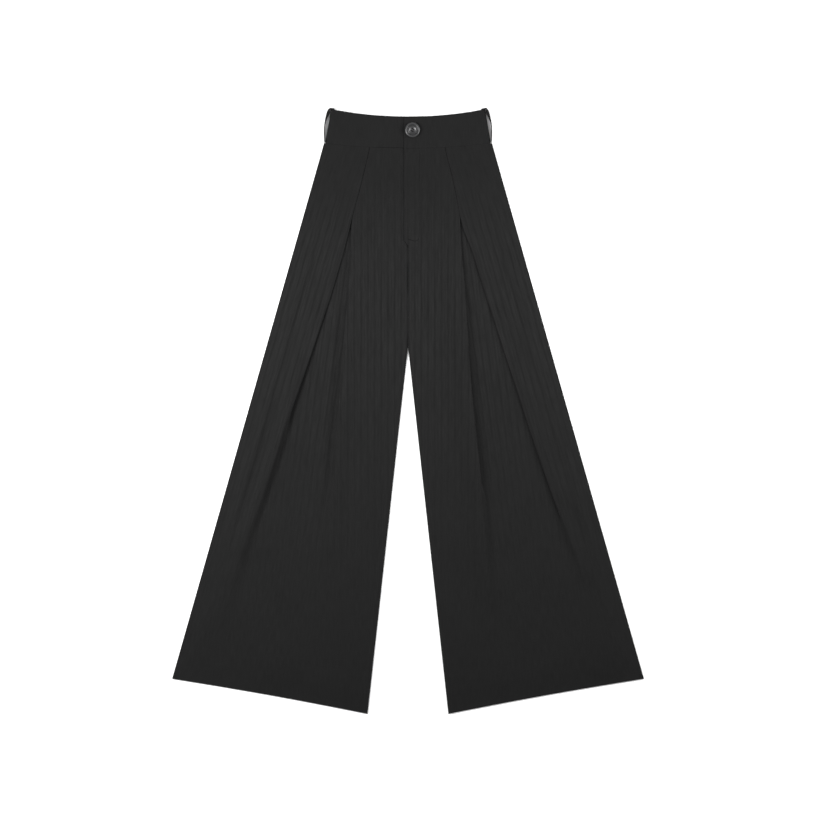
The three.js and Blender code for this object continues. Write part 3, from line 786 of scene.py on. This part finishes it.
def button_thread(name, low, material):
    """Two bars of thread, each from one hole over to the next."""
    holes = hole_centres()
    lines = []
    for start, end in ((holes[1], holes[0]), (holes[2], holes[3])):
        t = np.linspace(0, 1, 13)[:, None]
        flat = mix(start, end, t) + (BUTTON_X, BUTTON_Y)
        rise = low + BUTTON_MIDDLE + THREAD_LIFT * np.sin(math.pi * t) ** 0.5
        lines.append(np.concatenate([flat, rise], axis=1))
    return tubes(name, lines, THREAD_RADIUS, material)


def stitch_line(name, surface, knots, radius, material):
    """Short stitches along a line that lies on a surface."""
    line = smooth_path(knots, 400)
    walked = np.concatenate([[0], np.cumsum(np.linalg.norm(np.diff(line, axis=0), axis=1))])
    stitches = []
    for start in np.arange(0, walked[-1] - STITCH_LENGTH, STITCH_PITCH):
        at = np.linspace(start, start + STITCH_LENGTH, STITCH_POINTS)
        places = np.stack([np.interp(at, walked, line[:, k]) for k in (0, 1)], axis=1)
        arch = np.sin(np.linspace(0, math.pi, STITCH_POINTS))
        rise = radius * (STITCH_RISE * arch - STITCH_SUNK)
        heights = [height_on(surface, x, y) + lift for (x, y), lift in zip(places, rise)]
        stitches.append(np.column_stack([places, heights]))
    return tubes(name, stitches, radius, material)


def height_on(surface, x, y):
    """Top of a surface above a place, in millimetres."""
    place = Vector((x * MM, (y + SHIFT_Y) * MM, 1.0))
    hit = surface.ray_cast(place, Vector((0, 0, -1)))
    return hit[0].z / MM


# ---------------------------------------------------------------- materials
def new_material(name, roughness, sheen, specular):
    """A material with its nodes, its links and its one shader."""
    material = bpy.data.materials.new(name)
    material.use_nodes = True
    nodes = material.node_tree.nodes
    shader = nodes["Principled BSDF"]
    shader.inputs["Roughness"].default_value = roughness
    shader.inputs["Sheen Weight"].default_value = sheen
    shader.inputs["Sheen Roughness"].default_value = 0.5
    shader.inputs["Specular IOR Level"].default_value = specular
    return material, nodes, material.node_tree.links, shader


def math_node(nodes, links, operation, a, b=None, clamp=False):
    node = nodes.new("ShaderNodeMath")
    node.operation = operation
    node.use_clamp = clamp
    for socket, value in zip(node.inputs, (a, b)):
        if value is None:
            continue
        if isinstance(value, (int, float)):
            socket.default_value = value
        else:
            links.new(value, socket)
    return node.outputs[0]


def noise_node(nodes, links, place, scale, detail=2.0):
    noise = nodes.new("ShaderNodeTexNoise")
    noise.inputs["Scale"].default_value = scale
    noise.inputs["Detail"].default_value = detail
    links.new(place, noise.inputs["Vector"])
    return noise.outputs[0]


def ramp_node(nodes, links, value, stops):
    node = nodes.new("ShaderNodeValToRGB")
    ramp = node.color_ramp
    while len(ramp.elements) < len(stops):
        ramp.elements.new(0.5)
    for element, (position, level) in zip(ramp.elements, stops):
        element.position = position
        element.color = (level, level, level, 1)
    links.new(value, node.inputs[0])
    return node.outputs[0]


def colour_between(nodes, links, shader, tone, dark, light):
    """The shader's base colour, from dark to light by a tone from 0 to 1."""
    colour = nodes.new("ShaderNodeMix")
    colour.data_type = "RGBA"
    links.new(tone, colour.inputs["Factor"])
    colour.inputs["A"].default_value = (*dark, 1)
    colour.inputs["B"].default_value = (*light, 1)
    links.new(colour.outputs["Result"], shader.inputs["Base Color"])


def suiting_material(name, striped):
    """Charcoal suiting: a fine twill, a little unevenness and, on the legs, a shaded stripe whose
    fading towards waist and hems is painted shade.
    """
    material, nodes, links, shader = new_material(name, roughness=0.85, sheen=0.03, specular=0.05)
    uv = nodes.new("ShaderNodeUVMap")
    uv.uv_map = "Cloth"
    parts = nodes.new("ShaderNodeSeparateXYZ")
    links.new(uv.outputs[0], parts.inputs[0])
    across, down = parts.outputs[0], parts.outputs[1]
    place = nodes.new("ShaderNodeTexCoord").outputs["Object"]

    def math_of(operation, a, b=None, clamp=False):
        return math_node(nodes, links, operation, a, b, clamp)

    def centred(value, amount):
        return math_of("MULTIPLY", math_of("SUBTRACT", value, 0.5), amount)

    def drawn_out(scale_across, scale_down):
        """Noise that is drawn out down the cloth."""
        stretched = nodes.new("ShaderNodeCombineXYZ")
        links.new(math_of("MULTIPLY", across, scale_across), stretched.inputs[0])
        links.new(math_of("MULTIPLY", down, scale_down), stretched.inputs[1])
        return noise_node(nodes, links, stretched.outputs[0], 1.0)

    slope = math_of("ADD", across, math_of("MULTIPLY", down, TWILL_SLOPE))
    ribs = math_of("SINE", math_of("MULTIPLY", slope, 2 * math.pi / (TWILL_PITCH * MM)))
    patches = noise_node(nodes, links, place, PATCHES, 3.0)
    slubs = noise_node(nodes, links, place, SLUBS)
    yarns = drawn_out(*YARNS)
    tone = math_of("ADD", centred(patches, PATCH_AMOUNT), TONE if striped else BAND_TONE)
    tone = math_of("ADD", tone, math_of("MULTIPLY", ribs, TWILL_AMOUNT))
    tone = math_of("ADD", tone, centred(slubs, SLUB_AMOUNT))
    tone = math_of("ADD", tone, centred(yarns, YARN_AMOUNT))
    if striped:
        phase = math_of("FRACT", math_of("MULTIPLY", across, 1 / (STRIPE_PITCH * MM)))
        stripe = ramp_node(nodes, links, phase, STRIPE_SHADES)
        # painted shade: the stripe's lighter bands and its streaks fade by height, leaving waist and
        # hems darker
        fade = ramp_node(nodes, links, math_of("ADD", down, -FADE_FROM), STRIPE_FADE_PAINTED_SHADE)
        fade = math_of("MULTIPLY", fade, math_of("ADD", yarns, 0.5))
        lighter = math_of("MULTIPLY", stripe, math_of("MULTIPLY", fade, STRIPE_AMOUNT))
        streaks = math_of("MULTIPLY", centred(drawn_out(*STREAKS), STREAK_AMOUNT), fade)
        tone = math_of("ADD", math_of("ADD", tone, lighter), streaks)
    tone = math_of("ADD", tone, 0.0, clamp=True)
    colour_between(nodes, links, shader, tone, CLOTH_DARK, CLOTH_LIGHT)

    bump = nodes.new("ShaderNodeBump")
    bump.inputs["Strength"].default_value = BUMP_STRENGTH
    bump.inputs["Distance"].default_value = BUMP_DISTANCE * MM
    raised = math_of("MULTIPLY", slubs, BUMP_SLUBS)
    height = math_of("ADD", math_of("MULTIPLY", ribs, BUMP_RIBS), raised)
    links.new(height, bump.inputs["Height"])
    links.new(bump.outputs[0], shader.inputs["Normal"])
    return material


def horn_material():
    """Polished near-black horn look, with a faint cloudiness."""
    material, nodes, links, shader = new_material("horn", roughness=0.38, sheen=0.0, specular=0.5)
    place = nodes.new("ShaderNodeTexCoord").outputs["Object"]
    clouds = noise_node(nodes, links, place, 160.0)
    colour_between(nodes, links, shader, clouds, HORN_DARK, HORN_LIGHT)
    return material


def thread_material():
    """Dull dark sewing thread with a fine twist."""
    material, nodes, links, shader = new_material("thread", roughness=0.9, sheen=0.0, specular=0.03)
    place = nodes.new("ShaderNodeTexCoord").outputs["Object"]
    twist = nodes.new("ShaderNodeTexWave")
    twist.inputs["Scale"].default_value = 900.0
    links.new(place, twist.inputs["Vector"])
    colour_between(nodes, links, shader, twist.outputs["Fac"], THREAD_DARK, THREAD_LIGHT)
    return material


def floor_material():
    material, _, _, shader = new_material("pale_floor", roughness=0.9, sheen=0.0, specular=0.1)
    shader.inputs["Base Color"].default_value = (0.9, 0.9, 0.9, 1)
    return material


# ---------------------------------------------------------------- stage
PHOTO_SIDE, MM_PER_PIXEL = 820, 1.75
PHOTO_CENTRE = (3.5, 1.75)  # what the middle of the photo's frame shows
CAMERA_HEIGHT, SENSOR_WIDTH, CAMERA_FAR = 5.0, 36.0, 50.0  # metres, sensor in mm
FLOOR_HALF, FLOOR_Z = 6.0, -0.0006
DOME = 0.70
# Soft boxes: where each stands, what it is aimed at, its size (metres) and power (watts).
SoftBox = namedtuple("SoftBox", "name place target size power")
SOFT_BOXES = (
    SoftBox("key", (-0.95, 0.2, 1.0), (0.0, 0.1, 0.0), 0.6, 30.5),
    SoftBox("fill", (1.0, 0.4, 0.7), (0.0, 0.1, 0.0), 1.0, 20.5),
)


def make_camera():
    data = bpy.data.cameras.new("camera")
    data.sensor_width = SENSOR_WIDTH
    width = PHOTO_SIDE * MM_PER_PIXEL * MM
    data.lens = data.sensor_width * CAMERA_HEIGHT / width
    data.clip_end = CAMERA_FAR
    camera = bpy.data.objects.new("camera", data)
    camera.location = (PHOTO_CENTRE[0] * MM, (PHOTO_CENTRE[1] + SHIFT_Y) * MM, CAMERA_HEIGHT)
    bpy.context.scene.collection.objects.link(camera)
    bpy.context.scene.camera = camera


def make_soft_box(box):
    data = bpy.data.lights.new(box.name, "AREA")
    data.shape = "DISK"
    data.size = box.size
    data.energy = box.power
    light = bpy.data.objects.new(box.name, data)
    light.location = box.place
    light.rotation_euler = (Vector(box.target) - Vector(box.place)).to_track_quat("-Z", "Y").to_euler()
    bpy.context.scene.collection.objects.link(light)


def make_floor():
    half = FLOOR_HALF
    mesh = bpy.data.meshes.new("floor")
    corners = [(-half, -half, 0), (half, -half, 0), (half, half, 0), (-half, half, 0)]
    mesh.from_pydata(corners, [], [(0, 1, 2, 3)])
    mesh.materials.append(floor_material())
    floor = bpy.data.objects.new("floor", mesh)
    floor.location.z = FLOOR_Z
    bpy.context.scene.collection.objects.link(floor)


def make_studio():
    """An even white dome and the soft boxes."""
    world = bpy.data.worlds.new("studio")
    world.use_nodes = True
    background = world.node_tree.nodes["Background"]
    background.inputs[0].default_value = (1, 1, 1, 1)
    background.inputs[1].default_value = DOME
    bpy.context.scene.world = world
    for box in SOFT_BOXES:
        make_soft_box(box)
    bpy.context.scene.view_settings.view_transform = "Standard"


make_camera()
make_floor()
make_studio()

suiting = suiting_material("suiting", True)
plain_suiting = suiting_material("suiting_plain", False)
front_left, left_area = front(
    "cloth_front_left", LEFT_FOLDS, flap_edge, 1, True, suiting)
front_right, right_area = front(
    "cloth_front_right", RIGHT_FOLDS, shield_edge, -1, False, suiting)
back_left, back_area = back("cloth_back_left", 1, suiting)
back_right, _ = back("cloth_back_right", -1, suiting)

front_band_z = BAND + GAP


def flap_lift(out):
    """How far the left band is raised to lie over the right one."""
    return (BAND + GAP) * ease(share(out, LAP_END + BAND_LAP_RAMP, LAP_END))


def shield_lift(out):
    """How far the right band is raised beside the flap, to be nearly level with it."""
    level = BAND_LEVEL * ease(share(out, FLY_LAP + 0.2, FLY_LAP + FLY_GROOVE))
    return level * ease(share(out, *FLY_LEVEL_OUT))


def no_lift(out):
    return np.zeros_like(out)


band_left, flap_length, band_depth = waistband(
    "cloth_band_front_left", -FLY_LAP, flap_lift, front_band_z, 1, plain_suiting, FLAP_THINS)
band_right, shield_length, _ = waistband(
    "cloth_band_front_right", -FLY_SHIELD, shield_lift, front_band_z, -1, plain_suiting)
band_back, back_length, _ = waistband("cloth_band_back", None, no_lift, 0.0, 1, plain_suiting)
loop_left = belt_loop("cloth_loop_left", 1, plain_suiting)
loop_right = belt_loop("cloth_loop_right", -1, plain_suiting)

button_seat = front_band_z + 2 * (BAND + GAP)
horn = horn_material()
thread = thread_material()
button_disc = button("horn_button", button_seat, horn)
button_sewing = button_thread("button_thread", button_seat, thread)
bpy.context.view_layer.update()
left_surface = BVHTree.FromObject(front_left, bpy.context.evaluated_depsgraph_get())
straight_stitching = stitch_line(
    "fly_stitches_straight", left_surface, STRAIGHT_STITCHES, STRAIGHT_RADIUS, thread)
# the heavy curved stitching is partly painted shade of the groove round the fly's curved end
curved_stitching = stitch_line(
    "fly_stitches_curved", left_surface, CURVED_STITCHES, CURVED_RADIUS, thread)

DRESSED = {
    "front_left": front_left,
    "front_right": front_right,
    "back_left": back_left,
    "back_right": back_right,
    "waistband_front_left": band_left,
    "waistband_front_right": band_right,
    "waistband_back": band_back,
    "belt_loop_left": loop_left,
    "belt_loop_right": loop_right,
}
for node, piece in DRESSED.items():
    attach(piece, "root")
    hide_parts(node)
for piece in (button_disc, button_sewing, straight_stitching, curved_stitching):
    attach(piece, "root")
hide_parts("button")
